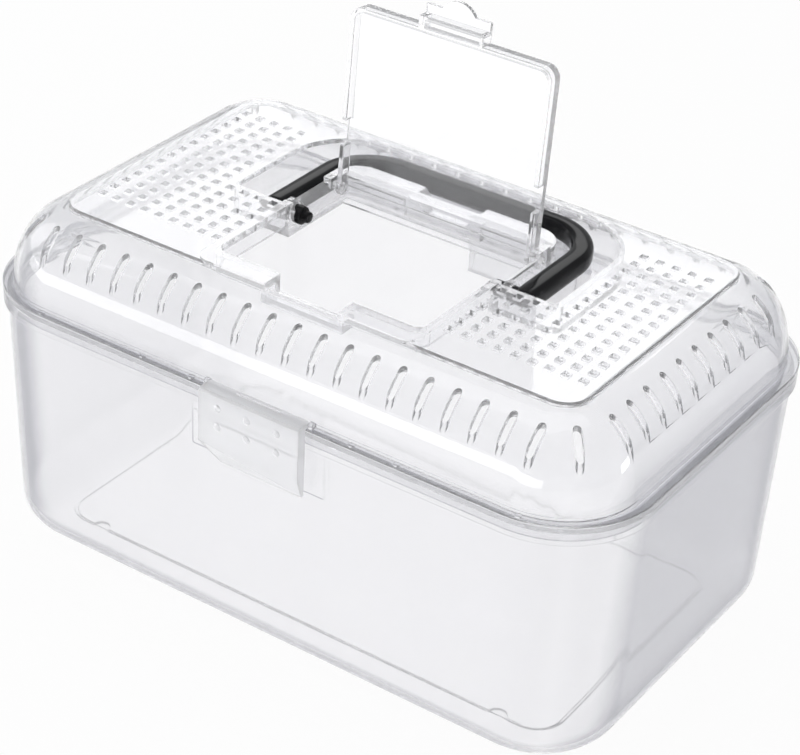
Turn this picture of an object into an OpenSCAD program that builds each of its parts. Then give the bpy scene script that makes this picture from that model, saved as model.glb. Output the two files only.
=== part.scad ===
// Plastic pet keeper: a clear tub, a domed vented lid, a hinged feeding door,
// a folding carry handle and two side latches. Lengths in mm.
// Origin at the middle of the base, X along the length, Y to the back, Z up.

/* [Overall] */
// Half the length over the rim
rim_hx = 134.3; // [125:0.1:150]
// Half the depth over the rim
rim_hy = 83.3; // [80:0.1:100]
// Corner radius of the rim
rim_r = 36.3; // [35:0.1:40]
// Wall thickness of tub and lid
wall_t = 2.0; // [1.6:0.1:2.4]

/* [Tub] */
// Height of the tub
tub_h = 102.6; // [80:0.1:140]
// How far the wall leans out per mm of height
wall_lean = 0.0322; // [0.01:0.0001:0.05]
// How far the rim stands out from the wall
rim_out = 1.5; // [1:0.1:2.5]
// Height of the rim
rim_fall = 5.3; // [3:0.1:8]
// Radius between wall and floor
foot_r = 14.7; // [6:0.1:20]
// Raised floor panel, in from the rim along the length
panel_in_x = 23.9; // [20:0.1:40]
// Raised floor panel, in from the rim along the depth
panel_in_y = 24.6; // [20:0.1:40]
// Corner radius of the raised floor panel
panel_r = 12; // [4:0.5:20]
// Rise of the floor panel, inside and underneath
panel_rise = 1.0; // [0.4:0.1:1.4]
// Half round bites in the long edges of the panel, in from its ends
bite_in = 20.4; // [16:0.1:40]
// Radius of those bites
bite_r = 3.5; // [2:0.1:5]
// Half width of the flat pad behind each latch
pad_hx = 29; // [24:0.5:40]
// Height of that pad
pad_h = 19.3; // [10:0.1:30]

/* [Lid] */
// Gap between the rim and the lid flange
lid_gap = 0.1; // [0.05:0.05:0.3]
// Thickness of the lid flange
flange_t = 2.3; // [1.6:0.1:3]
// Depth of the locating lip inside the tub
lip_h = 5.2; // [2:0.1:8]
// Thickness of the locating lip
lip_t = 1.8; // [1.2:0.1:2.4]
// Space between the locating lip and the tub wall
lip_gap = 0.5; // [0.3:0.1:1]
// Flat deck, in from the rim along the length
deck_in_x = 25.9; // [24:0.1:30]
// Flat deck, in from the rim along the depth
deck_in_y = 24.2; // [24:0.1:30]
// Corner radius of the flat deck
deck_r = 9.7; // [6:0.1:14]
// Outward run of the dome
dome_run = 20.7; // [18:0.1:21]
// Rise of the dome from flange to deck
dome_rise = 29; // [20:0.5:34]
// Height of the deck above the dome
deck_step = 2.1; // [1:0.1:3]
// Thickness of the deck
deck_t = 2.5; // [2.2:0.1:3]
// Bevel along the edge of the deck
deck_bevel = 0.7; // [0.2:0.1:1.2]
// Positions along X of the small studs on the front flange
studs = [-97, -50.6, -29, 38.6, 56.7, 103.5];
// Radius of those studs
stud_r = 1.2; // [0.8:0.1:1.6]

/* [Vents] */
// Side of a square vent hole
hole = 3.0; // [2:0.1:4]
// Pitch of the vent holes
hole_pitch = 6.5; // [5:0.1:8]
// Last column of vent holes, in from the deck edge
hole_edge = 7.1; // [5:0.1:10]
// Columns of vent holes beside the handle well
hole_cols = 5; // [3:1:7]
// Width of a dome slot
slot_w = 3.0; // [2:0.1:4]
// Pitch of the slots along the length
slot_px = 10.7; // [9:0.05:12]
// Pitch of the slots along the depth
slot_py = 10.86; // [9:0.01:12]
// Start of the slots, out from the deck edge
slot_in = 7.0; // [3:0.1:9]
// End of the slots, out from the deck edge
slot_out = 15.95; // [12:0.05:17]

/* [Door] */
// Half width of the door
door_hx = 42.1; // [36:0.1:46]
// Door hinge, front to back
dp_y = 21.7; // [20:0.1:24]
// Door hinge, down from the deck
dp_drop = 3.3; // [3:0.1:4]
// Outer face of the door above its hinge line
door_out = 3.7; // [3.2:0.1:4]
// Edge of the door skirt below its hinge line
door_in = 2.3; // [1.5:0.1:2.5]
// Thickness of the door panel and skirt
door_t = 2.0; // [1.4:0.1:2.4]
// Free corner radius of the door
door_r = 5; // [4:0.5:8]
// Angle the door stands open at rest
door_open = 94; // [85:1:94]
// Half width of the catch tab
tab_hx = 13.4; // [10:0.1:20]
// Reach of the catch step beyond the door
tab_step = 4.4; // [3:0.1:5]
// Reach of the catch lip beyond the door
tab_lip = 7.7; // [6:0.1:8]
// Radius of the round thumb edge
thumb_r = 7.8; // [6:0.1:10]
// Centre of the thumb edge beyond the door
thumb_at = 3.8; // [2:0.1:5]
// Radius of the door hinge pins
dpin_r = 1.5; // [1:0.1:2]

/* [Opening] */
// Gap between the door and each side of its opening
door_gap = 1.1; // [0.6:0.1:2]
// Width of the strip in front of the opening
strip = 8.9; // [8.5:0.1:12]
// Width of the wall beside the opening
collar_w = 3.3; // [2.6:0.1:5]
// Rise of the collar above the deck
collar_rise = 0.9; // [0.4:0.1:1.6]
// Top of the wall beside each handle leg, down from the deck
leg_wall_drop = 1.1; // [0.4:0.1:2]
// Inward fall of the top of that wall
leg_wall_fall = 2.3; // [1:0.1:2.6]
// Space between that low wall and the door hinge
leg_wall_end = 4.2; // [3.5:0.1:6]
// Front corner radius of the opening
open_r = 4; // [2:0.5:5]
// Gap between the catch tab and each end of its pocket
gap_side = 1.9; // [1:0.1:3]
// Depth of the catch pocket, front to back
pocket_run = 6.4; // [5.5:0.1:6.6]
// Thickness of the walls of the opening and the pocket
skirt_t = 1.8; // [1.2:0.1:2.4]

/* [Handle] */
// Centre of the grip bar, in from the rim along the depth
bar_in = 32.1; // [31.5:0.1:34]
// Radius of the bends, on the centre line
bend_r = 20; // [14:0.5:24]
// Width of the bar section
bar_w = 8.0; // [7:0.1:9]
// Height of the bar section
bar_h = 7.5; // [7:0.1:8]
// Edge radius of the bar section
bar_e = 2.0; // [1:0.1:3]
// Pivot of the handle, front to back
hp_y = -1.5; // [-3:0.1:0]
// Pivot of the handle, down from the deck
hp_drop = 5.85; // [5.5:0.05:6]
// Radius of the handle pivot pins
hp_r = 3.5; // [2.5:0.1:3.6]
// Radius of the tips of those pins
tip_r = 2.2; // [1.5:0.1:2.4]

/* [Handle well] */
// Space outside each leg of the handle
well_side = 11.1; // [6:0.1:12]
// Space in front of the handle pivot
well_front = 5; // [4.5:0.1:8]
// Space behind the grip bar
well_back = 0.6; // [0.4:0.1:2]
// Back corner radius of the handle well
well_r = 26; // [20:0.5:30]
// Space under the handle
well_under = 1.0; // [0.5:0.1:2]
// Radius of the front corners of the handle well
well_fr = 3; // [1:0.5:4.5]
// Thickness of the front wall of the well
well_wall = 1.5; // [1.2:0.1:4]
// Depth of the island behind the opening, front to back
island_d = 11.1; // [9:0.1:14]
// Back corner radius of the island
island_r = 10; // [6:0.5:11]
// Length of the round boss on each side of the opening
boss_t = 2.0; // [1:0.1:2.6]

/* [Latch] */
// Half width of a latch
latch_hx = 21.2; // [18:0.1:26]
// How far a latch stands out from the rim
latch_out = 4.2; // [3.8:0.1:6]
// Thickness of the latch wall
latch_t = 1.8; // [1.2:0.1:2]
// Rise of a latch above the lid flange
latch_rise = 2.0; // [1.9:0.05:2.4]
// How far a latch reaches below the rim
latch_fall = 18.8; // [14:0.1:24]
// Height of the bevel at the foot of a latch
latch_bevel = 7.5; // [4:0.1:9]
// Inward run of that bevel
latch_tuck = 2.5; // [1:0.1:2.6]
// Radius of the latch hinge pins
lpin_r = 0.55; // [0.4:0.05:0.6]
// Width of the ears that hold a latch
ear_t = 1.6; // [1.2:0.1:2]

/* [Hidden] */
$fn = 96;
big = 200;
fit = 0.08;
// tub
cx = rim_hx - rim_r;
cy = rim_hy - rim_r;
rim_z = tub_h - rim_fall;
lean_l = sqrt(1 + wall_lean * wall_lean);
base_r = rim_r - rim_out - wall_lean * tub_h;
foot_c = base_r + wall_lean * foot_r - foot_r * lean_l;
foot_i = foot_r - wall_t;
panel_hx = rim_hx - panel_in_x;
panel_hy = rim_hy - panel_in_y;
function wall_r(z) = base_r + wall_lean * z;
pad_y = cy + wall_r(rim_z) + 0.27;
// lid
lid_z = tub_h + lid_gap;
flange_z = lid_z + flange_t;
dome_top = flange_z + dome_rise;
dome_n = 14;
deck_top = dome_top + deck_step;
deck_z = deck_top - deck_t;
deck_hx = rim_hx - deck_in_x;
deck_hy = rim_hy - deck_in_y;
dx = deck_hx - deck_r;
dy = deck_hy - deck_r;
lip_o = wall_r(tub_h) - wall_t * lean_l - lip_gap;
lip_i = lip_o - lip_t;
stud_in = stud_r + 0.6;
function stud_y(x) = cy + sqrt(pow(rim_r - stud_in, 2) - pow(max(abs(x) - cx, 0), 2));
// door and opening
dp_z = deck_top - dp_drop;
door_pl = door_out - door_t;
open_hx = door_hx + door_gap;
collar_hx = open_hx + collar_w;
collar_top = deck_top + collar_rise;
open_y0 = strip - deck_hy;
open_y1 = dp_y + door_out + 0.5;
door_len = dp_y - open_y0 - 0.6;
gap_hx = tab_hx + gap_side;
pocket_z = dp_z - door_in - 0.3;
pocket_y = open_y0 - pocket_run;
skirt_z = pocket_z - skirt_t;
tab_plate = 1.8;
// handle and its well
hp_z = deck_top - hp_drop;
bar_y = rim_hy - bar_in;
leg_x = collar_hx + boss_t + 1.1 + bar_w / 2;
well_hx = leg_x + bar_w / 2 + well_side;
well_y0 = hp_y - well_front;
well_y1 = bar_y + bar_w / 2 + well_back;
well_z = hp_z - bar_h / 2 - well_under;
well_b = well_z - wall_t;
block_y = well_y0 - well_wall;
island_y = open_y1 + island_d;
pin_in = door_hx - 1.1;
tip_in = door_hx - 3.6;
pin_reach = dp_y - hp_y;
// vents
hole_x1 = deck_hx - hole_edge;
hole_rows = floor((deck_hy - hole_edge) / hole_pitch);
hole_skip = ceil((hole / 2 - block_y) / hole_pitch - 0.5);
hole_more = floor((hole_x1 - hole_cols * hole_pitch - collar_hx - hole / 2) / hole_pitch);
slots_x = floor((deck_hx - 1.3) / slot_px);
slots_y = floor((deck_hy - 4.8) / slot_py);
// latches
latch_y = rim_hy + latch_out;
latch_i = latch_y - latch_t;
latch_in = rim_hy + 0.2;
latch_top = flange_z + latch_rise;
latch_bot = rim_z - latch_fall;
bend_z = latch_bot + latch_bevel;
lp_y = deck_hy + dome_run + 1.3;
knuckle_r = (latch_rise - 0.1) / 2;
lp_z = latch_top - knuckle_r;
ear_r = knuckle_r + 0.3;
ear_x = latch_hx + 0.15 + ear_t / 2;

module rrect(hx, hy, r) {
    square([2 * hx, 2 * (hy - r)], center = true);
    square([2 * (hx - r), 2 * hy], center = true);
    for (sx = [-1, 1], sy = [-1, 1])
        translate([sx * (hx - r), sy * (hy - r)])
            circle(r);
}

// An outline from y0 to y1 with corners of radius r at y1 and f at y0.
module d_shape(hx, y0, y1, r, f = 0) {
    translate([-hx, y0 + f])
        square([2 * hx, y1 - r - y0 - f]);
    translate([f - hx, y0])
        square([2 * (hx - f), y1 - r - y0]);
    translate([r - hx, y0 + f])
        square([2 * (hx - r), y1 - y0 - f]);
    for (sx = [-1, 1]) {
        translate([sx * (hx - r), y1 - r])
            circle(r);
        if (f > 0)
            translate([sx * (hx - f), y0 + f])
                circle(f);
    }
}

// Carries a wall section round a rounded rectangle.
module around(px, py) {
    for (c = [[1, 1, 0], [-1, 1, 90], [-1, -1, 180], [1, -1, 270]])
        translate([c[0] * px, c[1] * py, 0])
            rotate([0, 0, c[2]])
                rotate_extrude(angle = 90)
                    children();
    for (a = [0, 180])
        rotate([0, 0, a]) {
            translate([px, py, 0])
                rotate([90, 0, 0])
                    linear_extrude(2 * py)
                        children();
            translate([-px, py, 0])
                rotate([90, 0, 90])
                    linear_extrude(2 * px)
                        children();
        }
}

module slab(x0, x1, y0, y1, z0, z1) {
    translate([x0, y0, z0])
        cube([x1 - x0, y1 - y0, z1 - z0]);
}

// A cylinder along X, centred on x.
module rod(x, y, z, r, l) {
    translate([x - l / 2, y, z])
        rotate([0, 90, 0])
            cylinder(r = r, h = l);
}

// ---- tub ----

module tub_section() {
    difference() {
        union() {
            polygon([
                [0, 0],
                [foot_c, 0],
                [foot_c + foot_r / lean_l, foot_r - foot_r * wall_lean / lean_l],
                [wall_r(tub_h), tub_h],
                [0, tub_h]
            ]);
            intersection() {
                translate([foot_c, foot_r])
                    circle(foot_r);
                square(2 * foot_r + foot_c);
            }
        }
        polygon([
            [-1, wall_t],
            [foot_c, wall_t],
            [foot_c + foot_i / lean_l, foot_r - foot_i * wall_lean / lean_l],
            [wall_r(tub_h + 1) - wall_t * lean_l, tub_h + 1],
            [-1, tub_h + 1]
        ]);
        translate([foot_c, foot_r])
            circle(foot_i);
    }
    polygon([
        [wall_r(rim_z) - 1, rim_z],
        [rim_r - 0.4, rim_z],
        [rim_r, rim_z + 0.4],
        [rim_r, tub_h - 0.3],
        [rim_r - 0.3, tub_h],
        [wall_r(tub_h) - 1, tub_h]
    ]);
}

module panel_2d() {
    difference() {
        rrect(panel_hx, panel_hy, panel_r);
        for (sx = [-1, 1], sy = [-1, 1])
            translate([sx * (panel_hx - bite_in), sy * panel_hy])
                circle(bite_r);
    }
}

module tub() {
    color([0.84, 0.87, 0.88, 0.45])
        difference() {
            union() {
                around(cx, cy)
                    tub_section();
                slab(-cx, cx, -cy, cy, 0, wall_t);
                translate([0, 0, wall_t / 2])
                    linear_extrude(wall_t / 2 + panel_rise)
                        panel_2d();
                // flat pads behind the latches
                for (a = [0, 180])
                    rotate([0, 0, a])
                        slab(-pad_hx, pad_hx, -pad_y, 1.6 - pad_y, rim_z - pad_h, rim_z + 1);
            }
            translate([0, 0, -1])
                linear_extrude(1 + panel_rise)
                    rrect(panel_hx - 1.5, panel_hy - 1.5, panel_r - 1.5);
        }
}

// ---- lid ----

module flange_section() {
    polygon([
        [lip_i, lid_z - lip_h],
        [lip_o - 0.3, lid_z - lip_h],
        [lip_o, lid_z - lip_h + 0.8],
        [lip_o, lid_z],
        [rim_r, lid_z],
        [rim_r, flange_z - 0.4],
        [rim_r - 0.4, flange_z],
        [lip_i, flange_z]
    ]);
}

// The dome wall is a quarter ellipse, out and up from the flange.
module dome_section() {
    polygon(concat(
        [[deck_r + dome_run, lid_z]],
        [for (i = [0 : dome_n])
            [deck_r + dome_run * cos(90 * i / dome_n),
             flange_z + dome_rise * sin(90 * i / dome_n)]],
        [[deck_r - 2, dome_top], [deck_r - 2, dome_top - wall_t]],
        [for (i = [dome_n : -1 : 0])
            [deck_r + (dome_run - wall_t) * cos(90 * i / dome_n),
             flange_z + (dome_rise - wall_t) * sin(90 * i / dome_n)]],
        [[deck_r + dome_run - wall_t, lid_z]]
    ));
}

// One dome slot with round ends, running out along X from the deck edge.
module slot() {
    for (x = [slot_in + slot_w / 2, slot_out - slot_w / 2])
        translate([x, 0, flange_z + 4])
            cylinder(d = slot_w, h = dome_rise);
    slab(slot_in + slot_w / 2, slot_out - slot_w / 2, -slot_w / 2, slot_w / 2,
        flange_z + 4, flange_z + 4 + dome_rise);
}

module dome_slots() {
    for (k = [0 : slots_x - 1], sx = [-1, 1], a = [90, 270])
        rotate([0, 0, a])
            translate([deck_hy, sx * (k + 0.5) * slot_px, 0])
                slot();
    for (k = [0 : slots_y - 1], sy = [-1, 1], a = [0, 180])
        rotate([0, 0, a])
            translate([deck_hx, sy * (k + 0.5) * slot_py, 0])
                slot();
    for (c = [[1, 1, 45], [-1, 1, 135], [-1, -1, 225], [1, -1, 315]])
        translate([c[0] * dx, c[1] * dy, 0])
            rotate([0, 0, c[2]])
                translate([deck_r, 0, 0])
                    slot();
}

module vent_holes() {
    for (i = [0 : hole_cols - 1], j = [0 : hole_rows - 1], sx = [-1, 1], sy = [-1, 1])
        translate([sx * (hole_x1 - i * hole_pitch), sy * (j + 0.5) * hole_pitch])
            square(hole, center = true);
    for (i = [0 : hole_more], j = [hole_skip : hole_rows - 1], sx = [-1, 1])
        translate([sx * (hole_x1 - (hole_cols + i) * hole_pitch), -(j + 0.5) * hole_pitch])
            square(hole, center = true);
}

module opening_2d(grow = 0) {
    mirror([0, 1])
        d_shape(open_hx + grow, -open_y1, grow - open_y0, open_r + grow);
}

module gap_2d() {
    translate([-gap_hx, -deck_hy - 1])
        square([2 * gap_hx, deck_hy + 2 + open_y0]);
}

module well_2d() {
    difference() {
        d_shape(well_hx, well_y0, well_y1, well_r, well_fr);
        d_shape(collar_hx, well_y0 - 1, island_y, island_r);
    }
}

module collar_2d() {
    difference() {
        mirror([0, 1])
            d_shape(collar_hx, -open_y1, deck_hy, open_r + 2);
        opening_2d();
        gap_2d();
    }
}

// Finger scoop in the back wall of the island.
module scoop() {
    translate([0, island_y + 1, 0])
        rotate([90, 0, 0])
            linear_extrude(6)
                polygon([
                    [-8, well_z + 4],
                    [8, well_z + 4],
                    [14.3, deck_top + 1],
                    [-14.3, deck_top + 1]
                ]);
}

// Room above the low, inward sloping walls beside the handle legs.
module leg_wall_cut() {
    for (sx = [-1, 1])
        scale([sx, 1, 1])
            translate([0, dp_y - leg_wall_end, 0])
                rotate([90, 0, 0])
                    linear_extrude(dp_y - leg_wall_end - well_y0 - 0.5)
                        polygon([
                            [open_hx - collar_w, deck_top - leg_wall_drop - 2 * leg_wall_fall],
                            [collar_hx, deck_top - leg_wall_drop],
                            [collar_hx + boss_t + 1, deck_top - leg_wall_drop],
                            [collar_hx + boss_t + 1, deck_top + 2 * collar_rise],
                            [open_hx - collar_w, deck_top + 2 * collar_rise]
                        ]);
}

module lid_shell() {
    difference() {
        around(dx, dy)
            dome_section();
        dome_slots();
    }
    around(cx, cy)
        flange_section();
}

module lid_deck() {
    difference() {
        translate([0, 0, deck_z])
            linear_extrude(deck_t)
                difference() {
                    rrect(deck_hx, deck_hy, deck_r);
                    vent_holes();
                    opening_2d();
                    gap_2d();
                    well_2d();
                }
        around(dx, dy)
            polygon([
                [deck_r - deck_bevel - 1, deck_top + 1],
                [deck_r + 1, deck_top + 1],
                [deck_r + 1, deck_top - deck_bevel - 1]
            ]);
    }
}

module lid_well() {
    difference() {
        union() {
            translate([0, 0, well_b])
                linear_extrude(deck_z + 0.5 - well_b)
                    d_shape(well_hx + skirt_t, block_y, well_y1 + skirt_t, well_r + skirt_t,
                        well_fr + well_wall);
            translate([0, 0, skirt_z])
                linear_extrude(deck_z + 0.5 - skirt_z)
                    intersection() {
                        opening_2d(skirt_t);
                        translate([-big, -big])
                            square([2 * big, big + block_y + 1]);
                    }
            slab(-gap_hx - skirt_t, gap_hx + skirt_t, pocket_y - skirt_t, open_y0, skirt_z, dome_top);
        }
        translate([0, 0, well_z])
            linear_extrude(20)
                well_2d();
        translate([0, 0, well_b - 10])
            linear_extrude(40)
                opening_2d();
        slab(-gap_hx, gap_hx, pocket_y, open_y0 + 1, pocket_z, deck_top + 1);
        // hollow under the island, filled round the scoop
        difference() {
            slab(2 - collar_hx, collar_hx - 2, open_y1 + 2, island_y - island_r + 4, well_b - 1, deck_z);
            slab(-16.5, 16.5, open_y1 + 2, island_y, well_z + 2, deck_z + 1);
        }
    }
}

// Round bosses on the well walls that carry the handle pins.
module bosses() {
    for (sx = [-1, 1])
        rod(sx * (collar_hx + boss_t / 2 - 0.5), hp_y, hp_z, 5, boss_t + 1);
}

// Small ears on the flange that hold a latch, one at each end.
module ears() {
    for (sx = [-1, 1]) {
        rod(sx * ear_x, -lp_y, lp_z, ear_r, ear_t);
        slab(sx * ear_x - ear_t / 2, sx * ear_x + ear_t / 2, -lp_y - ear_r, ear_r - lp_y,
            flange_z - 0.5, lp_z);
    }
}

module lid() {
    color([0.9, 0.93, 0.94, 0.3])
        difference() {
            union() {
                lid_shell();
                lid_deck();
                lid_well();
                bosses();
                translate([0, 0, deck_z])
                    linear_extrude(collar_top - deck_z)
                        collar_2d();
                for (a = [0, 180])
                    rotate([0, 0, a])
                        ears();
                for (x = studs)
                    translate([x, -stud_y(x), flange_z - 1])
                        cylinder(r = stud_r, h = 1.5);
            }
            scoop();
            leg_wall_cut();
            rod(0, hp_y, hp_z, hp_r + fit, 2 * (collar_hx + 8));
            rod(0, dp_y, dp_z, dpin_r + fit, 2 * (collar_hx + 8));
            for (sy = [-1, 1])
                rod(0, sy * lp_y, lp_z, lpin_r + fit, 2 * (latch_hx + 8));
        }
}

// ---- handle ----

module bar_2d() {
    rrect(bar_w / 2, bar_h / 2, bar_e);
}

module handle() {
    color([0.03, 0.03, 0.03])
        translate([0, 0, hp_z]) {
            for (sx = [-1, 1]) {
                translate([sx * leg_x, bar_y - bend_r, 0])
                    rotate([90, 0, 0])
                        linear_extrude(bar_y - bend_r - hp_y)
                            bar_2d();
                translate([sx * (leg_x - bend_r), bar_y - bend_r, 0])
                    rotate([0, 0, 45 - 45 * sx])
                        rotate_extrude(angle = 90)
                            translate([bend_r, 0])
                                bar_2d();
                // round eye of the leg, and its stepped pin
                translate([sx * leg_x, hp_y, 0])
                    rotate([0, 90, 0])
                        rotate_extrude()
                            intersection() {
                                rrect(bar_h / 2, bar_w / 2, bar_e);
                                translate([0, -bar_w])
                                    square(2 * bar_w);
                            }
                rod(sx * (leg_x + pin_in) / 2, hp_y, 0, hp_r, leg_x - pin_in);
                rod(sx * (pin_in + 1 + tip_in) / 2, hp_y, 0, tip_r, pin_in + 1 - tip_in);
            }
            translate([bend_r - leg_x, bar_y, 0])
                rotate([90, 0, 90])
                    linear_extrude(2 * (leg_x - bend_r))
                        bar_2d();
        }
}

// ---- door, drawn shut about its hinge line: reach runs along -Y ----

module door_shut() {
    difference() {
        union() {
            translate([0, 0, -door_in])
                linear_extrude(door_in + door_out)
                    mirror([0, 1])
                        d_shape(door_hx, 0, door_len, door_r);
            for (sx = [-1, 1])
                rod(sx * (door_hx - door_t / 2), 0, 0, 3, door_t);
            slab(-tab_hx, tab_hx, -door_len - tab_step, 1 - door_len, -door_in, door_out);
        }
        // the tray inside
        translate([0, 0, -big])
            linear_extrude(big + door_pl)
                mirror([0, 1])
                    d_shape(door_hx - door_t, 3.1, door_len - tab_plate, door_r - tab_plate);
        slab(door_t - door_hx, door_hx - door_t, -4, 4, -big, door_pl);
        // the step of the catch
        slab(tab_plate - tab_hx, tab_hx - tab_plate, tab_plate - door_len - tab_step, 0.6 - door_len,
            tab_plate - door_in, big);
        // bites in the skirt that pass the handle pins
        slab(-big, big, -pin_reach - 4.1, -pin_reach + 5.7, -big, door_pl);
    }
    slab(-tab_hx, tab_hx, -door_len - tab_lip, 1.7 - door_len - tab_step, door_out - tab_plate, door_out);
    intersection() {
        translate([0, -door_len - thumb_at, door_out - tab_plate])
            cylinder(r = thumb_r, h = tab_plate);
        slab(-thumb_r, thumb_r, -door_len - 2 * thumb_r, 1 - door_len - tab_lip, 0, big);
    }
    for (sx = [-1, 1])
        rod(sx * (door_hx + 1.3), 0, 0, dpin_r, 4.6);
}

module door() {
    color([0.9, 0.93, 0.95, 0.3])
        translate([0, dp_y, dp_z])
            rotate([-door_open, 0, 0])
                door_shut();
}

// ---- latches ----

module cheek_2d() {
    polygon([
        [0.4 - latch_y, latch_top - 1],
        [0.4 - latch_y, bend_z],
        [latch_tuck + 0.4 - latch_y, latch_bot],
        [-latch_in, latch_bot],
        [-latch_in, latch_top - 1]
    ]);
}

module latch() {
    difference() {
        union() {
            // face, bevel and top plate
            translate([-latch_hx, 0, 0])
                rotate([90, 0, 90])
                    linear_extrude(2 * latch_hx)
                        polygon([
                            [-lp_y, latch_top],
                            [0.8 - latch_y, latch_top],
                            [-latch_y, latch_top - 0.8],
                            [-latch_y, bend_z],
                            [latch_tuck - latch_y, latch_bot],
                            [latch_tuck - latch_i - 0.1, latch_bot],
                            [-latch_i, bend_z + 0.6],
                            [-latch_i, latch_top - 2 * knuckle_r],
                            [-lp_y, latch_top - 2 * knuckle_r]
                        ]);
            rod(0, -lp_y, lp_z, knuckle_r, 2 * latch_hx);
            // end cheeks
            for (sx = [-1, 1])
                translate([sx * (latch_hx - latch_t / 2) - latch_t / 2, 0, 0])
                    rotate([90, 0, 90])
                        linear_extrude(latch_t)
                            cheek_2d();
            // inner ledge under the rim
            slab(-latch_hx, latch_hx, -latch_i - 0.5, -latch_in, rim_z - 2.7, rim_z - 0.7);
            // round grip studs
            for (x = [-13, -0.5, 12], z = [rim_z - 3.2, rim_z + 4.4])
                intersection() {
                    translate([x, 1.7 - latch_y, z])
                        sphere(r = 2.3);
                    slab(x - 3, x + 3, -latch_y - 2, 1 - latch_y, z - 3, z + 3);
                }
            // hinge pins
            rod(0, -lp_y, lp_z, lpin_r, 2 * (ear_x + ear_t / 2));
        }
        // cut corner, low on the left
        translate([0, big / 2 - latch_y, 0])
            rotate([90, 0, 0])
                linear_extrude(big)
                    polygon([
                        [-latch_hx - 1, bend_z + 0.5],
                        [-latch_hx - 1, latch_bot - 1],
                        [9 - latch_hx, latch_bot - 1]
                    ]);
        // slit in the top
        slab(-8.6, 10.4, -lp_y - 1.8, -lp_y - 1.1, latch_top - 0.6, latch_top + 1);
    }
}

module front_latch() {
    color([0.82, 0.85, 0.86, 0.6])
        latch();
}

module rear_latch() {
    color([0.82, 0.85, 0.86, 0.6])
        rotate([0, 0, 180])
            latch();
}

tub();
lid();
door();
handle();
front_latch();
rear_latch();
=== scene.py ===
# %% [markdown]
# A small carry keeper for animals, moulded in clear plastic. It has a milky tub, a clear
# domed lid with rows of vents, a feeding door that stands open on its hinge, a black
# carry handle and a frosted latch on each long side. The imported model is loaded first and
# stays as it is. Every piece made here sits where its solid sits, and stands in for it.

# %% Load the frame
import math
import bmesh
import bpy
import numpy as np
from mathutils import Matrix, Vector


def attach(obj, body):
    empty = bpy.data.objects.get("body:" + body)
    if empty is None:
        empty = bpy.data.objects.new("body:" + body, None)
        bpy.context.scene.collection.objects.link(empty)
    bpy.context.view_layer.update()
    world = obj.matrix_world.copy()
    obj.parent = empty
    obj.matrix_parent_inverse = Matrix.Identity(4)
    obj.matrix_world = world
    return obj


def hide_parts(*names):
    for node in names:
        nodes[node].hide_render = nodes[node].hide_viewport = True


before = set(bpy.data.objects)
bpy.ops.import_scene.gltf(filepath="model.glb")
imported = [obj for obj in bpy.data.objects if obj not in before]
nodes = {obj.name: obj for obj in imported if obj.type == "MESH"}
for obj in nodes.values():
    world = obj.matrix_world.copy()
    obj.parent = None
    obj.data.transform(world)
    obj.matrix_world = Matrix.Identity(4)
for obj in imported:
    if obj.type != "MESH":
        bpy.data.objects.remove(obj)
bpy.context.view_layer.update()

MM = 0.001
print("solids:", ", ".join(sorted(nodes)))

# %% [markdown]
# The camera stands to the front and right of the keeper and looks down on it. A long lens
# far away suits a small product, because the edges then hardly converge. It could be aimed
# with a Track To constraint, but a turn written as one rotation vector needs no helper
# object: its length is the angle, and its direction is the axis of the turn.

# %% Camera
CAMERA_AT = Vector((0.4194, -0.6401, 0.5546))
CAMERA_TURN = Vector((2.038, 0.667, -0.306))
SENSOR, FOCAL_IN_WIDTHS = 36.0, 3.074
CLIP_START = 0.05

# The rows of the turn point right, down and away; a camera's own axes are right, up, back.
to_view = Matrix.Rotation(CAMERA_TURN.length, 3, CAMERA_TURN.normalized())
axes = Matrix((to_view[0], -to_view[1], -to_view[2])).transposed()
lens = bpy.data.cameras.new("studio_camera")
lens.sensor_width = SENSOR
lens.lens = FOCAL_IN_WIDTHS * SENSOR
lens.clip_start = CLIP_START
camera = bpy.data.objects.new("studio_camera", lens)
camera.matrix_world = Matrix.Translation(CAMERA_AT) @ axes.to_4x4()
bpy.context.scene.collection.objects.link(camera)
bpy.context.scene.camera = camera
print("camera lens %.1f mm, %.2f m from the origin" % (lens.lens, CAMERA_AT.length))

# %% [markdown]
# Clear plastic shows what is around it more than itself, so the surroundings come before
# the materials. Shader nodes are placed many times below, and one small helper keeps each
# placing to a line: it adds a node, sets it up, and gives each input a value or a link.

# %% A helper that places shader nodes
def put(tree, kind, given=None, **settings):
    """A new node of the kind, with its settings; each given input gets a number or a link."""
    made = tree.nodes.new("ShaderNode" + kind)
    for name, value in settings.items():
        setattr(made, name, value)
    for socket, value in (given or {}).items():
        if isinstance(value, bpy.types.NodeSocket):
            tree.links.new(value, made.inputs[socket])
        else:
            made.inputs[socket].default_value = value
    return made


def ray_share(tree, *kinds):
    """1 where the ray is of one of the named kinds, and 0 elsewhere: the largest of them."""
    path = put(tree, "LightPath")
    found = path.outputs[kinds[0]]
    for kind in kinds[1:]:
        larger = put(tree, "Math", {0: found, 1: path.outputs[kind]}, operation="MAXIMUM")
        found = larger.outputs[0]
    return found


# %% [markdown]
# The floor is a wide pale sheet, a hair under the base. A product photograph has it burnt
# out to white. More lamp light would burn out the keeper too, so instead the floor glows:
# at one where the camera looks straight at it, and at a strength that fades with the
# distance where it is seen through the plastic or mirrored. A small part of it stays a
# matt floor, which takes the soft shadow.

# %% Floor sheet
FLOOR_HALF, FLOOR_DROP = 3.0, 0.2 * MM


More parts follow.
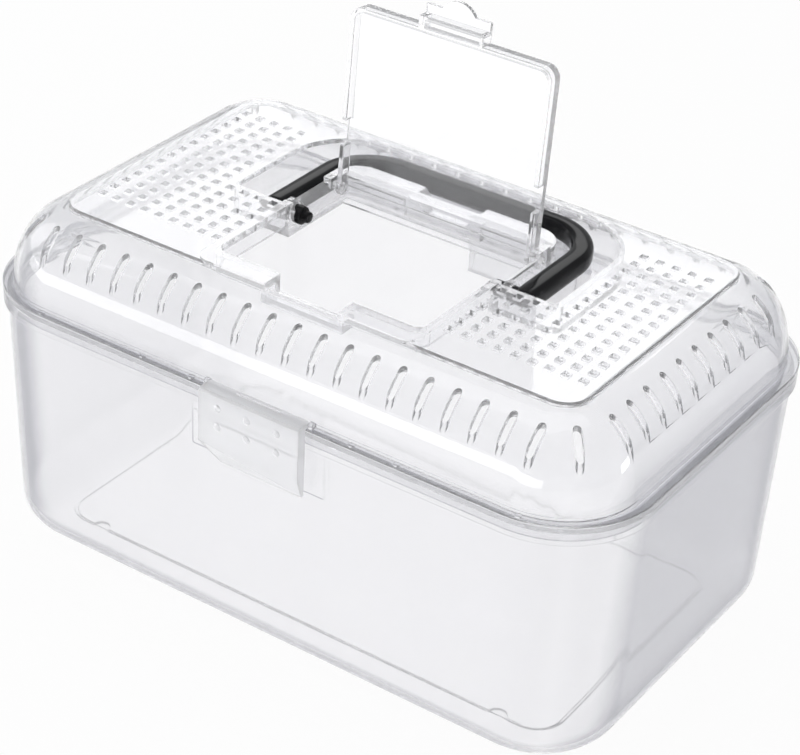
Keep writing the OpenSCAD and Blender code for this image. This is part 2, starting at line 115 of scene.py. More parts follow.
def make_floor(half, drop):
    """A flat square of side 2 half, just under the base."""
    x = half * np.array([-1, 1, 1, -1])
    y = half * np.array([-1, -1, 1, 1])
    points = np.stack([x, y, np.full(4, -drop)], axis=1)
    mesh = bpy.data.meshes.new("floor")
    mesh.from_pydata(points.tolist(), [], [(0, 1, 2, 3)])
    sheet = bpy.data.objects.new("floor", mesh)
    bpy.context.scene.collection.objects.link(sheet)
    return sheet


floor = make_floor(FLOOR_HALF, FLOOR_DROP)
print("floor %.1f m wide" % (2 * FLOOR_HALF))

# %% Floor material
FLOOR_WHITE, FLOOR_ROUGH = (0.95, 0.95, 0.95, 1), 0.9
FLOOR_GLOW = 0.93
NEAR_WITHIN, FAR_BEYOND = 0.8, 2.2
NEAR_FLOOR, FAR_FLOOR = 1.08, 0.65

white = bpy.data.materials.new("floor_white")
white.use_nodes = True
tree = white.node_tree
matt = tree.nodes["Principled BSDF"]
matt.inputs["Base Color"].default_value = FLOOR_WHITE
matt.inputs["Roughness"].default_value = FLOOR_ROUGH
matt.inputs["Specular IOR Level"].default_value = 0.0
place = put(tree, "TexCoord")
away = put(tree, "VectorMath", {0: place.outputs["Object"]}, operation="LENGTH")
fade = put(tree, "MapRange", {
    "Value": away.outputs["Value"], "From Min": NEAR_WITHIN, "From Max": FAR_BEYOND,
    "To Min": NEAR_FLOOR, "To Max": FAR_FLOOR})
seen = ray_share(tree, "Is Camera Ray")
unseen = put(tree, "Math", {0: 1.0, 1: seen}, operation="SUBTRACT")
level = put(tree, "Math", {0: fade.outputs[0], 1: unseen.outputs[0], 2: seen},
            operation="MULTIPLY_ADD")
glow = put(tree, "Emission", {"Color": (1, 1, 1, 1), "Strength": level.outputs[0]})
shown = ray_share(tree, "Is Camera Ray", "Is Transmission Ray", "Is Glossy Ray")
share = put(tree, "Math", {0: shown, 1: FLOOR_GLOW}, operation="MULTIPLY")
blend = put(tree, "MixShader", {0: share.outputs[0], 1: matt.outputs[0], 2: glow.outputs[0]})
tree.links.new(blend.outputs[0], tree.nodes["Material Output"].inputs[0])
floor.data.materials.append(white)
print("floor glow %.2f, matt share %.2f" % (FLOOR_GLOW, 1 - FLOOR_GLOW))

# %% [markdown]
# Round the floor stands a plain room. Where the camera looks at it, it is white. What the
# plastic mirrors and bends is a room with pale walls and a greyer ceiling: the higher a ray
# climbs, the less light it meets. That is what draws the grey lines along the edges of the
# clear walls, as in a studio with a light tent.

# %% Room
WALLS, CEILING = 0.90, 0.5
WALLS_UP_TO, CEILING_FROM = 0.10, 0.60
DAYLIGHT = (0.98, 0.99, 1.0, 1)

room = bpy.data.worlds.new("studio_room")
bpy.context.scene.world = room
room.use_nodes = True
tree = room.node_tree
heading = put(tree, "SeparateXYZ", {0: put(tree, "TexCoord").outputs["Generated"]})
climb = put(tree, "MapRange", {
    "Value": heading.outputs["Z"], "From Min": WALLS_UP_TO, "From Max": CEILING_FROM,
    "To Min": WALLS, "To Max": CEILING})
level = put(tree, "Math", {0: climb.outputs[0], 1: ray_share(tree, "Is Camera Ray")},
            operation="MAXIMUM")
sky = tree.nodes["Background"]
sky.inputs["Color"].default_value = DAYLIGHT
tree.links.new(level.outputs[0], sky.inputs["Strength"])
bpy.context.scene.view_settings.view_transform = "Standard"
print("room: walls %.2f, ceiling %.2f" % (WALLS, CEILING))

# %% [markdown]
# Soft lamps give the plastic its shine. The dome shows one long streak along its front,
# its near corner a bright spot, and the flat deck a pale sheen, so each lamp stands where
# the surface mirrors it towards the camera. Rays that have gone through the plastic don't
# see the lamps, which keeps stray sparks out of the vents.

# %% Strip lamps
def strip_lamp(name, at, aim, size, brightness):
    """A flat lamp of the given brightness: power = brightness x pi x area."""
    lamp = bpy.data.lights.new(name, "AREA")
    lamp.shape = "RECTANGLE"
    lamp.size, lamp.size_y = size
    lamp.energy = brightness * math.pi * size[0] * size[1]
    holder = bpy.data.objects.new(name, lamp)
    towards = (Vector(aim) - Vector(at)).to_track_quat("-Z", "Y")
    holder.matrix_world = Matrix.Translation(at) @ towards.to_matrix().to_4x4()
    holder.visible_transmission = False
    bpy.context.scene.collection.objects.link(holder)
    print(name, "%.1f W" % lamp.energy)


for name, at, aim, size, brightness in (
    ("front_strip", (-0.62, -1.26, 0.13), (0, 0, 0.13), (2.5, 0.26), 3.4),
    ("right_lamp", (1.35, 0.72, 0.05), (0, 0, 0.11), (0.4, 0.26), 7.0),
    ("left_panel", (-1.6, -0.6, 0.8), (0, 0, 0.1), (1.4, 1.2), 1.7),
    ("back_panel", (-0.83, 1.22, 0.95), (-0.83, 0, 0.95), (1.1, 0.28), 1.9),
    ("top_panel", (-0.2, 0.1, 1.6), (0, 0, 0.1), (1.6, 1.2), 0.8),
):
    strip_lamp(name, at, aim, size, brightness)

# %% [markdown]
# Light that enters a clear wall is often thrown from side to side inside it before it
# leaves. With the few bounces that Blender allows at first, such light is lost and the
# edges turn black, so more bounces are allowed here.

# %% Light paths
MOST_BOUNCES, THROUGH_BOUNCES, MIRROR_BOUNCES = 24, 20, 16

light_paths = bpy.context.scene.cycles
light_paths.max_bounces = MOST_BOUNCES
light_paths.transmission_bounces = THROUGH_BOUNCES
light_paths.glossy_bounces = MIRROR_BOUNCES
print("bounces:", light_paths.max_bounces)

# %% [markdown]
# Moulded plastic is never quite even. The skin has slow waves where the melt flowed and
# cooled, a fine haze of handling marks, and a tint that is a little deeper here and there.
# Each plastic could have its own copies of these nodes, but one group holds all three, and
# each plastic below uses it with its own amounts.

# %% Sockets of the flow and haze group
flow = bpy.data.node_groups.new("flow_and_haze", "ShaderNodeTree")
for name, kind, value in (
    ("Wave Scale", "Float", 45.0),
    ("Mark Scale", "Float", 900.0),
    ("Base Haze", "Float", 0.05),
    ("Mark Haze", "Float", 0.05),
    ("Tint", "Color", (1, 1, 1, 1)),
    ("Deep Tint", "Color", (1, 1, 1, 1)),
):
    socket = flow.interface.new_socket(
        name=name, in_out="INPUT", socket_type="NodeSocket" + kind)
    socket.default_value = value
for name, kind in (("Color", "Color"), ("Haze", "Float"), ("Waves", "Float"),
                   ("Outer", "Float")):
    flow.interface.new_socket(name=name, in_out="OUTPUT", socket_type="NodeSocket" + kind)
ends = flow.nodes.new("NodeGroupInput"), flow.nodes.new("NodeGroupOutput")
print("group:", flow.name, "with", len(flow.interface.items_tree), "sockets")

# %% Waves, haze and tint
WAVE_DETAIL, MARK_DETAIL, MARK_GRIT = 1.5, 4.0, 0.7


def fill_flow(group, given, result):
    """Waves = slow noise, Haze = base + amount x fine noise, Color = two tints by the waves."""
    place = put(group, "TexCoord").outputs["Object"]
    waves = put(group, "TexNoise", {
        "Vector": place, "Scale": given["Wave Scale"], "Detail": WAVE_DETAIL})
    marks = put(group, "TexNoise", {
        "Vector": place, "Scale": given["Mark Scale"], "Detail": MARK_DETAIL,
        "Roughness": MARK_GRIT})
    haze = put(group, "Math", {
        0: marks.outputs["Fac"], 1: given["Mark Haze"], 2: given["Base Haze"]},
        operation="MULTIPLY_ADD")
    tint = put(group, "Mix", {
        "Factor": waves.outputs["Fac"], "A": given["Tint"], "B": given["Deep Tint"]},
        data_type="RGBA")
    group.links.new(tint.outputs["Result"], result["Color"])
    group.links.new(haze.outputs[0], result["Haze"])
    group.links.new(waves.outputs["Fac"], result["Waves"])
    return place


place = fill_flow(flow, ends[0].outputs, ends[1].inputs)
print("flow nodes:", len(flow.nodes))

# %% [markdown]
# The flat middle of the keeper, which is its deck, its door and its floor, is left out of
# the painted shade that darkens the walls round it aslant. A mask tells them apart by how far
# out a point lies, counted in half widths of the keeper, so that it needs no image map.

# %% Mask of the walls that take the painted shade
HALF_X, HALF_Y = 134 * MM, 83 * MM
WALLS_FROM, WALLS_AT = 0.80, 0.93


def fill_outer(group, place, result):
    """Outer = smooth step of max(|x| / HALF_X, |y| / HALF_Y), from WALLS_FROM to WALLS_AT."""
    sides = put(group, "VectorMath", {0: place}, operation="ABSOLUTE")
    shares = put(group, "VectorMath", {0: sides.outputs[0], 1: (1 / HALF_X, 1 / HALF_Y, 0)},
                 operation="MULTIPLY")
    split = put(group, "SeparateXYZ", {0: shares.outputs[0]})
    most = put(group, "Math", {0: split.outputs["X"], 1: split.outputs["Y"]},
               operation="MAXIMUM")
    outer = put(group, "MapRange", {
        "Value": most.outputs[0], "From Min": WALLS_FROM, "From Max": WALLS_AT},
        interpolation_type="SMOOTHSTEP")
    group.links.new(outer.outputs["Result"], result["Outer"])


fill_outer(flow, place, ends[1].inputs)
print("walls start at %.0f and %.0f mm" % (WALLS_FROM * HALF_X / MM, WALLS_FROM * HALF_Y / MM))

# %% [markdown]
# Every plastic here is the same shader with other amounts: the group gives its colour, its
# roughness and the height of a faint bump, and the shader's own sockets hold what is even
# all over, such as how much light it lets through and how strongly it bends it.

# %% One shader for every plastic
WAVE_BUMP = 0.3


def plastic(name, tint, deep, haze, marks, wave, depth, **even):
    """A Principled shader fed by the flow group; even holds its constant sockets."""
    stuff = bpy.data.materials.new(name)
    stuff.use_nodes = True
    tree = stuff.node_tree
    skin = tree.nodes["Principled BSDF"]
    detail = put(tree, "Group", node_tree=flow)
    for socket, value in (("Tint", (*tint, 1)), ("Deep Tint", (*deep, 1)),
                          ("Base Haze", haze), ("Mark Haze", marks), ("Wave Scale", wave)):
        detail.inputs[socket].default_value = value
    bump = put(tree, "Bump", {
        "Strength": WAVE_BUMP, "Distance": depth, "Height": detail.outputs["Waves"]})
    tree.links.new(detail.outputs["Color"], skin.inputs["Base Color"])
    tree.links.new(detail.outputs["Haze"], skin.inputs["Roughness"])
    tree.links.new(bump.outputs["Normal"], skin.inputs["Normal"])
    for socket, value in even.items():
        skin.inputs[socket.replace("_", " ")].default_value = value
    print("plastic:", name)
    return stuff, skin, detail


# %% [markdown]
# A clear box throws hardly any shadow. Tracing lamp light through every wall would need
# thousands of samples, so the lamps see each wall as a thin clear sheet that keeps back a
# little light.

# %% Lamp light through clear walls
def let_lamps_through(stuff, skin, left):
    """For shadow rays the plastic is a transparent sheet that leaves the given share."""
    tree = stuff.node_tree
    clear = put(tree, "BsdfTransparent", {"Color": (left, left, left, 1)})
    choice = put(tree, "MixShader", {
        0: ray_share(tree, "Is Shadow Ray"), 1: skin.outputs[0], 2: clear.outputs[0]})
    tree.links.new(choice.outputs[0], tree.nodes["Material Output"].inputs[0])
    print(stuff.name, "leaves %.2f of the lamp light" % left)


# %% [markdown]
# Clear plastic is palest where it is looked at squarely. Aslant, the walls are painted darker
# and bluer: partly for the longer way that light takes through a wall aslant, and partly as
# painted shade for the darker room that the side walls face. Layer Weight gives the slant of
# the surface, and the mask keeps the painted shade on the walls.

# %% Painted shade on the walls aslant
# The colour of the painted shade: a dark blue-grey that the walls' colour is mixed towards.
PAINTED_SHADE = (0.0, 0.005, 0.06, 1)
EVEN_BLEND = 0.5


def painted_shade_aslant(stuff, skin, detail, start, end, most, least):
    """Color = kept x colour + (1 - kept) x PAINTED_SHADE, where kept = share ** Outer.

    The share falls from most to least as the slant of the surface goes from start to end."""
    # Painted shade: the base colour is mixed towards the shade colour as the wall turns aslant.
    tree = stuff.node_tree
    slant = put(tree, "LayerWeight", {"Blend": EVEN_BLEND})
    share = put(tree, "MapRange", {
        "Value": slant.outputs["Facing"], "From Min": start, "From Max": end,
        "To Min": most, "To Max": least})
    kept = put(tree, "Math", {0: share.outputs["Result"], 1: detail.outputs["Outer"]},
               operation="POWER")
    shade = put(tree, "Mix", {
        "Factor": kept.outputs[0], "A": PAINTED_SHADE, "B": detail.outputs["Color"]},
        data_type="RGBA")
    tree.links.new(shade.outputs["Result"], skin.inputs["Base Color"])
    print(stuff.name, "keeps %.2f of its colour squarely, %.2f aslant" % (most, least))


# %% [markdown]
# The tub is a slightly milky plastic. A little of its light is scattered and the rest goes
# through, so its transmission stays below one and its tint is hardly off white.

# %% Milky plastic of the tub
milky, skin, detail = plastic(
    "milky_clear", tint=(0.992, 0.99, 0.998), deep=(0.975, 0.972, 0.985), haze=0.02,
    marks=0.05, wave=35, depth=0.03 * MM, Transmission_Weight=0.88, IOR=1.49)
# The tub's walls take a painted shade, darker and bluer aslant.
painted_shade_aslant(milky, skin, detail, start=0.40, end=0.64, most=0.92, least=0.42)
let_lamps_through(milky, skin, left=0.94)

# %% [markdown]
# The lid and its door are clearer than the tub, as polished moulds leave them. They share
# the shader, with more light let through and shallower waves, and a slightly higher index
# of refraction gives them a little more gloss.

# %% Polished plastic of the lid
polished, skin, detail = plastic(
    "polished_clear", tint=(0.99, 0.99, 0.998), deep=(0.975, 0.975, 0.988), haze=0.04,
    marks=0.04, wave=30, depth=0.02 * MM, Transmission_Weight=0.94, IOR=1.52)
# The lid's walls take a lighter painted shade aslant.
painted_shade_aslant(polished, skin, detail, start=0.28, end=0.55, most=0.95, least=0.60)
let_lamps_through(polished, skin, left=0.96)

# %% [markdown]
# The latches are moulded with a fine texture that turns the light soft. A rougher surface
# and a greater share of scattered light make them frosted.

# %% Frosted plastic of the latches
frosted, skin, _ = plastic(
    "frosted", tint=(0.98, 0.98, 0.99), deep=(0.95, 0.95, 0.96), haze=0.18, marks=0.12,
    wave=60, depth=0.04 * MM, Transmission_Weight=0.72, IOR=1.49)
let_lamps_through(frosted, skin, left=0.9)

# %% [markdown]
# The handle is a glossy black plastic. Its colour is nearly black everywhere, so what is
# seen of it is its sheen, which the fine marks break up a little. The sheen is held low,
# because it mirrors a room that is paler than most.

# %% Black plastic of the handle
black = plastic(
    "gloss_black", tint=(0.004, 0.004, 0.005), deep=(0.008, 0.008, 0.009), haze=0.06,
    marks=0.10, wave=90, depth=0.03 * MM, IOR=1.5, Specular_IOR_Level=0.13)[0]

# %% [markdown]
# The tub is one wall section carried round a rounded rectangle. It could be a box with
# bevelled edges, but then the foot, the leaning wall and the rim couldn't each have their
# own radius. Here every row of the section keeps its corner centre and radius, and every
# column is a direction round the plan, so the rows are clean and highlights run evenly.

# %% Columns round a rounded rectangle
def plan_path(cut_x, cut_y, steps):
    """Columns round the plan, anticlockwise from the middle of the right side.

    Each column is a base, as shares of the half sizes of the rectangle of corner centres,
    and an outward direction. cut_x and cut_y are shares from -1 to 1 that the straight
    sides are cut at, and each corner has steps arcs of 90 / steps degrees."""
    quarter = np.linspace(0, np.pi / 2, steps + 1)
    base, out = [], []
    for k, corner in enumerate(((1, 1), (-1, 1), (-1, -1), (1, -1))):
        cuts = np.sort(np.asarray(cut_x if k % 2 else cut_y, float))
        cuts = cuts if k in (0, 3) else cuts[::-1]
        side = np.array([np.cos(k * np.pi / 2), np.sin(k * np.pi / 2)])
        along = np.zeros((len(cuts), 2))
        along[:, 1 - k % 2] = cuts
        angle = k * np.pi / 2 + quarter
        turned_out = np.stack([np.cos(angle), np.sin(angle)], axis=1)
        base += [along + side, np.tile(corner, (steps + 1, 1))]
        out += [np.tile(side, (len(cuts), 1)), turned_out]
    return np.concatenate(base), np.concatenate(out)


def carry_round(base, out, rows):
    """Point = base x centre + out x radius, at the row's height. rows are (cx, cy, r, z)."""
    cx, cy, r, z = np.asarray(rows, float).T
    x = base[:, None, 0] * cx + out[:, None, 0] * r
    y = base[:, None, 1] * cy + out[:, None, 1] * r
    return np.stack([x, y, np.broadcast_to(z, x.shape)], axis=2)


print("columns of a plain plan:", len(plan_path([0], [0], 4)[0]))

# %% [markdown]
# No moulded edge is quite sharp. A section is drawn as straight lines first, and each of
# its corners is then replaced by a small arc. A Bevel modifier would round the finished
# mesh instead, but here every corner keeps a radius of its own and even faces beside it.

# %% Corners of a section made round
HARDLY_BENT = 1.55


def rounded_line(points, radii, steps=3):
    """The polyline with each corner replaced by an arc that touches both its sides.

    The arc's points are centre + (u sin((1 - t) sweep) + v sin(t sweep)) / sin(sweep), for t
    from 0 to 1, where u and v lead from the centre to the ends of the arc. A corner stays as
    it is where it has no radius, or where half its angle is more than HARDLY_BENT radians."""
    p = np.asarray(points, float)
    line = [p[:1]]
    for i, r in enumerate(radii, start=1):
        before, after = p[i - 1] - p[i], p[i + 1] - p[i]
        a = before / np.linalg.norm(before)
        b = after / np.linalg.norm(after)
        half = 0.5 * np.arccos(np.clip(a @ b, -1, 1))
        if r <= 0 or half > HARDLY_BENT:
            line.append(p[i][None])
            continue
        reach = r / np.tan(half)
        centre = p[i] + (a + b) / np.linalg.norm(a + b) * r / np.sin(half)
        u, v = p[i] + a * reach - centre, p[i] + b * reach - centre
        sweep = np.pi - 2 * half
        t = np.linspace(0, 1, steps + 1)[:, None]
        arc = (np.sin((1 - t) * sweep) * u + np.sin(t * sweep) * v) / np.sin(sweep)
        line.append(centre + arc)
    line.append(p[-1:])
    return np.concatenate(line)


print("points of a rounded corner:", len(rounded_line([(0, 1), (0, 0), (1, 0)], [0.2])) - 2)

# %% [markdown]
# Every surface below is a grid of points, so its faces are the cells of the grid. Points
# that fall together, such as those where a profile meets its own axis, are merged after
# that, and the faces are turned to point outwards.

# %% From a grid of points to a piece
MERGE_WITHIN, SLIVER = 1e-6, 1e-7


def grid_faces(n, m, closed):
    """Quads over an n by m grid of points; closed joins the last column to the first."""
    i = np.arange(n if closed else n - 1)
    j = np.arange(m - 1)
    a, b = np.meshgrid(i, j, indexing="ij")
    c = (a + 1) % n
    quads = np.stack([a * m + b, c * m + b, c * m + b + 1, a * m + b + 1], axis=-1)
    return quads.reshape(-1, 4).tolist()


def shade_smooth(b, sharp):
    """Smooth faces, with the edges that turn by more than sharp degrees left crisp."""
    for face in b.faces:
        face.smooth = True
    for edge in b.edges:
        joined = len(edge.link_faces) == 2
        edge.smooth = joined and edge.calc_face_angle(0) < math.radians(sharp)


def show_piece(name, mesh, stuff, body):
    """An object for the mesh, in its material, that rides on the body."""
    mesh.materials.clear()
    mesh.materials.append(stuff)
    piece = bpy.data.objects.new(name, mesh)
    bpy.context.scene.collection.objects.link(piece)
    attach(piece, body)
    print(name, len(mesh.polygons), "faces")
    return piece


def new_piece(name, points, faces, stuff, body, sharp=35):
    """A closed piece in metres from points in mm, doubles merged and normals outward."""
    mesh = bpy.data.meshes.new(name)
    mesh.from_pydata((np.asarray(points).reshape(-1, 3) * MM).tolist(), [], faces)
    b = bmesh.new()
    b.from_mesh(mesh)
    bmesh.ops.remove_doubles(b, verts=b.verts, dist=MERGE_WITHIN)
    bmesh.ops.dissolve_degenerate(b, edges=b.edges, dist=SLIVER)
    bmesh.ops.recalc_face_normals(b, faces=b.faces)
    shade_smooth(b, sharp)
    b.to_mesh(mesh)
    b.free()
    piece = show_piece(name, mesh, stuff, body)
    piece.modifiers.new("even_shading", "WEIGHTED_NORMAL").keep_sharp = True
    return piece


# %% [markdown]
# The section of the tub starts under the raised floor panel, steps down to the ring that
# the tub stands on, turns up through the round foot, climbs the leaning wall to the rim,
# and comes back down inside. The wall leans out a little, so that the tub slides off its
# mould. All lengths are in millimetres, and a radius counts from the corner's centre.

# %% Section of the tub
CX, CY = 98.0, 47.0
LEAN = 0.0322
TUB_H, RIM_Z, RIM_R, RIM_OUT = 102.6, 97.3, 36.3, 1.5
WALL, FOOT = 2.0, 14.7
FOOT_ENDS, FOOT_STEPS = -1.5, 12
PANEL_R, PANEL_RISE = 12.0, 1.0
PANEL_FROM, UNDER_STEP = PANEL_R - 5.0, PANEL_R - 1.5
PAD_LOW, PAD_RUN = 78.0, 1.5
BELOW_PAD, ABOVE_PAD, RIM_FROM = (30, 50, 65), (85, 92), 94.0
RIM_ROUNDS, PANEL_ROUNDS = (0.25, 0.6, 0.5, 0.5), (0.3, 0.3)


def wall_radius(z):
    """Corner radius of the outer wall: it grows by LEAN per millimetre of height."""
    return RIM_R - RIM_OUT - LEAN * (TUB_H - z)


def tub_rows():
    """The section as rows of corner centre, radius and height, and the rows of its last step.

    The foot is two arcs about one centre, a WALL apart, and the wall is two leaning lines."""
    foot_c = wall_radius(FOOT) - FOOT * math.hypot(1, LEAN)
    angle = np.radians(np.linspace(-90, FOOT_ENDS, FOOT_STEPS))
    arc = np.stack([np.cos(angle), np.sin(angle)], axis=1)
    outer, inner = [(foot_c, FOOT) + radius * arc for radius in (FOOT, FOOT - WALL)]
    climb = np.concatenate([BELOW_PAD, np.linspace(PAD_LOW, PAD_LOW + PAD_RUN, 4), ABOVE_PAD])
    outer_wall = np.stack([wall_radius(climb), climb], axis=1)
    inner_wall = (outer_wall - (WALL, 0))[-2::-1]
    rim = rounded_line(
        [(wall_radius(RIM_FROM), RIM_FROM), (wall_radius(RIM_Z), RIM_Z), (RIM_R, RIM_Z),
         (RIM_R, TUB_H), (wall_radius(TUB_H) - WALL, TUB_H),
         (wall_radius(RIM_FROM) - WALL, RIM_FROM)], RIM_ROUNDS, 3)
    under = rounded_line(
        [(PANEL_FROM, PANEL_RISE), (UNDER_STEP, PANEL_RISE), (UNDER_STEP, 0), (foot_c, 0)],
        PANEL_ROUNDS, 2)
    top = WALL + PANEL_RISE
    panel = rounded_line(
        [(foot_c, WALL), (PANEL_R, WALL), (PANEL_R, top), (PANEL_FROM, top)],
        PANEL_ROUNDS, 2)
    rz = np.concatenate(
        [under[:-1], outer, outer_wall, rim, inner_wall, inner[::-1], panel[1:]])
    rows = np.column_stack([np.full(len(rz), CX), np.full(len(rz), CY), rz])
    return rows, len(panel) - 1


rows, n_panel = tub_rows()
print("tub section: %d points, wall %.1f mm" % (len(rows), WALL))

# %% [markdown]
# The columns are close together where the plan has something to show: the ends of the flat
# pads that the latches lie on, and the round bites in the edge of the raised floor panel.

# %% Surface of the tub
BITE_X, BITE_R = 90.0, 3.5
PAD_X, PAD_Y = 29.0, 81.9
EVEN_X, EVEN_SHARE_Y, CORNER_STEPS = 95, 0.95, 16

pad_ends = np.linspace(PAD_X - PAD_RUN, PAD_X, 4)
bite = BITE_R * np.cos(np.linspace(0, np.pi, 13))
even_x = np.linspace(-EVEN_X, EVEN_X, 20)
marks = np.concatenate([pad_ends, -pad_ends, bite - BITE_X, bite + BITE_X, even_x])
cut_x = np.unique(np.round(marks, 3)) / CX
cut_y = np.linspace(-EVEN_SHARE_Y, EVEN_SHARE_Y, 12)
base, out = plan_path(cut_x, cut_y, CORNER_STEPS)
tub_points = carry_round(base, out, rows)
print("tub grid:", tub_points.shape[:2])

# %% [markdown]
# Both details move points along y only. A pad pushes the outer face of the wall out to one
# plane, and ramps up to it over a short run at its ends and its foot. A bite draws the edge
# of the floor panel back along half a circle. The x, y and z below are views of the grid,
# so a change to y moves the points of the tub themselves.

# %% Pads and bites
STRAIGHT_OUT, HAIR = 0.999, 0.1

x, y, z = tub_points[..., 0], tub_points[..., 1], tub_points[..., 2]
flat_side = np.abs(out[:, 1]) > STRAIGHT_OUT
on_pad = flat_side[:, None] & (np.abs(x) < PAD_X) & (z > PAD_LOW - HAIR) & (z < RIM_Z)
on_pad &= np.abs(y) > wall_radius(z) + CY - 0.5 * WALL
rise = np.clip((PAD_X - np.abs(x)) / PAD_RUN, 0, 1) * np.clip((z - PAD_LOW) / PAD_RUN, 0, 1)
rise *= np.maximum(PAD_Y - np.abs(y), 0)
y += np.sign(y) * np.where(on_pad, rise, 0)
dip = np.sqrt(np.maximum(BITE_R ** 2 - (np.abs(x) - BITE_X) ** 2, 0)) * flat_side[:, None]
dip[:, : len(rows) - n_panel] = 0
y -= np.sign(y) * dip
print("pads stand out by up to %.2f mm" % rise[on_pad].max())

# %% Close the tub
n, m = tub_points.shape[:2]
faces = grid_faces(n, m, True)
faces.append([k * m for k in range(n)])
faces.append([k * m + m - 1 for k in reversed(range(n))])
tub = new_piece("tub_wall", tub_points, faces, milky, "tub")
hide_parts("tub")

# %% [markdown]
# The carry handle is a bar bent into a U. Its section is a full, pillowed square, a little
# wider in the legs than across the grip. A curve object with a bevel could follow the U,
# but its section couldn't change on the way, so the section is carried along it, stretch by
# stretch: straight, bend, straight, bend, straight. Each leg ends in a round eye about its
# pivot.

# %% Path of the handle
PIVOT_Y, PIVOT_Z = -1.5, 130.25
LEG_X, GRIP_Y, BEND = 53.6, 51.2, 20.0
LEG_W, GRIP_W, BAR_H, FULL = 8.6, 7.6, 7.5, 3.4
EYE_STEPS, LEG_STEPS, BEND_STEPS, GRIP_STEPS = 8, 5, 16, 4


def handle_path():
    """Centre line, outward direction, width and height along the U, from eye to eye.

    The height shrinks round the eye as a circle's does, and the width follows
    sin(turn) ** 2. One half is worked out, and the other is its mirror image."""
    eye = np.linspace(np.pi / 2, 0, EYE_STEPS + 1)[:-1]
    leg = np.linspace(PIVOT_Y, GRIP_Y - BEND, LEG_STEPS + 1)
    bend = np.radians(np.linspace(0, 90, BEND_STEPS + 1)[1:])
    mid = np.linspace(1, 0, GRIP_STEPS + 1)[1:] * (LEG_X - BEND)
    straight = len(eye) + len(leg)
    turn = np.concatenate([np.zeros(straight), bend, np.full(len(mid), np.pi / 2)])
    x = np.concatenate([np.full(straight, LEG_X), LEG_X - BEND + BEND * np.cos(bend), mid])
    y = np.concatenate([PIVOT_Y - 0.5 * BAR_H * np.sin(eye), leg,
                        GRIP_Y - BEND + BEND * np.sin(bend), np.full(len(mid), GRIP_Y)])
    high = np.concatenate([BAR_H * np.cos(eye), np.full(len(turn) - len(eye), BAR_H)])
    wide = LEG_W + (GRIP_W - LEG_W) * np.sin(turn) ** 2
    back = slice(-2, None, -1)
    return [np.concatenate([row, other[back]]) for row, other in (
        (x, -x), (y, y), (turn, np.pi - turn), (wide, wide), (high, high))]


def pillow_section(wide, high, steps=40):
    """Offsets (a, b) with |a / half width| ** FULL + |b / half height| ** FULL = 1.

    That is a superellipse: FULL = 2 is an ellipse, and a greater FULL is squarer."""
    t = np.linspace(0, 2 * np.pi, steps, endpoint=False) + np.pi / steps
    c, s = np.cos(t), np.sin(t)
    grow = (np.abs(c) ** FULL + np.abs(s) ** FULL) ** (-1 / FULL)
    return 0.5 * wide[:, None] * c * grow, 0.5 * high[:, None] * s * grow


# %% Bar of the handle
px, py, turn, wide, high = handle_path()
a, b = pillow_section(wide, high)
turn = turn[:, None]
bar = np.stack([px[:, None] + a * np.cos(turn), py[:, None] + a * np.sin(turn),
                PIVOT_Z + b], axis=2)
bar = np.concatenate([bar, bar[:, :1]], axis=1)
print("handle: %d sections, %.1f to %.1f mm wide" % (len(px), wide.min(), wide.max()))
handle = new_piece("carry_handle", bar, grid_faces(*bar.shape[:2], False), black,
                   "handle", sharp=60)
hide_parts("handle")

# %% [markdown]
# Each leg turns on a stepped pin that points inwards through the wall of the opening. A pin
# is a short profile turned about the pivot line, with its edges rounded as on a lathe.

# %% Pins
PIN_HEAD, PIN_STEP, PIN_TIP = 50.5, 41.0, 38.5
PIN_R, TIP_R = 3.5, 2.2
PIN_ROUNDS = (0, 0.5, 0.3, 0.6)


def turned(profile, side, steps=32):
    """Point = (side x distance, pivot + radius x (cos, sin)) for each turn round the line."""
    d, r = np.asarray(profile, float).T
    t = np.linspace(0, 2 * np.pi, steps + 1)[:, None]
    return np.stack([np.broadcast_to(side * d, (steps + 1, len(d))),
                     PIVOT_Y + r * np.cos(t), PIVOT_Z + r * np.sin(t)], axis=2)


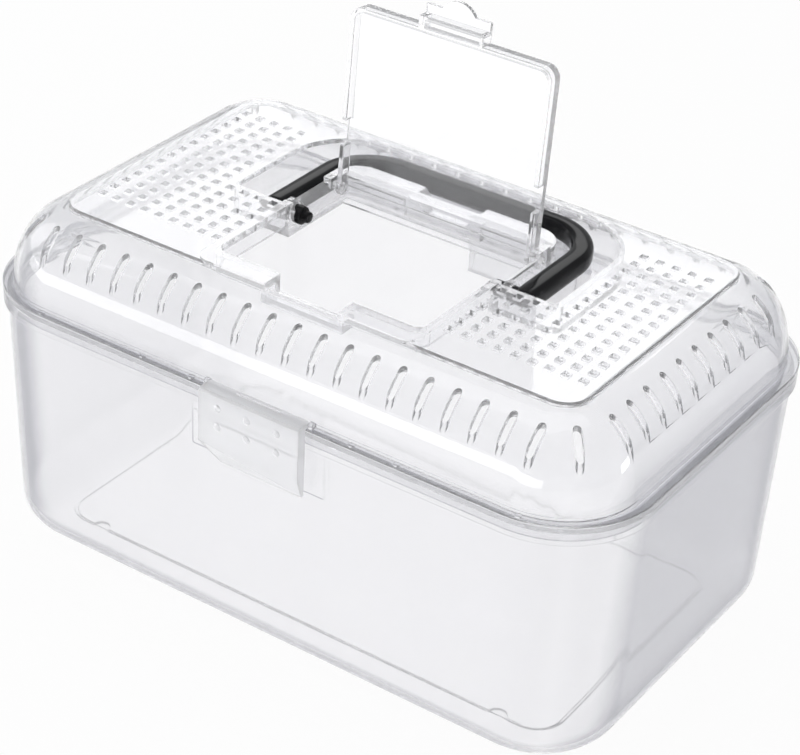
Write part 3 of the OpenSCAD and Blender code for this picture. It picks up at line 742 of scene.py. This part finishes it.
pin = rounded_line([(PIN_HEAD, 0), (PIN_HEAD, PIN_R), (PIN_STEP, PIN_R), (PIN_STEP, TIP_R),
                    (PIN_TIP, TIP_R), (PIN_TIP, 0)], PIN_ROUNDS, 3)
for side, name in ((1, "right_pin"), (-1, "left_pin")):
    ring = turned(pin, side)
    new_piece(name, ring, grid_faces(*ring.shape[:2], False), black, "handle")

# %% [markdown]
# The lid, the door and the latches already have every slot, vent and rib in their solids.
# Modelling those again would only risk a mismatch, so each takes a skin from its solid:
# the loose triangles are merged and the curved parts are shaded smooth. Where there is room
# for it, flat fields become single faces, and sharp edges get a small round that catches
# the light.

# %% Skins from the solids
SKIN_MERGE = 2e-6
FLAT_WITHIN, ROUND_OVER = math.radians(0.5), math.radians(40)


def skin_of(node, stuff, edge=0.0, sharp=32):
    """The node's surface, merged, in its place.

    With an edge, faces that are flat within FLAT_WITHIN become one, and the edges that turn
    by more than ROUND_OVER are rounded by that width."""
    mesh = nodes[node].data.copy()
    mesh.name = node + "_skin"
    b = bmesh.new()
    b.from_mesh(mesh)
    bmesh.ops.remove_doubles(b, verts=b.verts, dist=SKIN_MERGE)
    if edge:
        bmesh.ops.dissolve_limit(b, angle_limit=FLAT_WITHIN, verts=b.verts, edges=b.edges)
    shade_smooth(b, sharp)
    b.to_mesh(mesh)
    b.free()
    piece = show_piece(mesh.name, mesh, stuff, node)
    if edge:
        rounding = piece.modifiers.new("edge_round", "BEVEL")
        rounding.width = edge
        rounding.segments = 2
        rounding.limit_method = "ANGLE"
        rounding.angle_limit = ROUND_OVER
    piece.modifiers.new("even_shading", "WEIGHTED_NORMAL").keep_sharp = True
    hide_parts(node)


# %% [markdown]
# The lid keeps its edges as its solid has them, because its hundreds of small holes leave
# no room for a rounding between them.

# %% Lid
skin_of("lid", polished)

# %% [markdown]
# The feeding door is a thin clear plate with a frame, two hinge pins and a finger tab. A
# rounding of 0.3 mm draws the bright line that a moulded edge shows.

# %% Feeding door
DOOR_EDGE = 0.3 * MM

skin_of("door", polished, edge=DOOR_EDGE)

# %% [markdown]
# The two latches are alike: a frosted plate with six round grip studs. It turns about its
# top edge, between two small ears on the flange of the lid, and hangs down over the rim of
# the tub.

# %% Latches
LATCH_EDGE = 0.25 * MM

for latch in ("front_latch", "rear_latch"):
    skin_of(latch, frosted, edge=LATCH_EDGE)
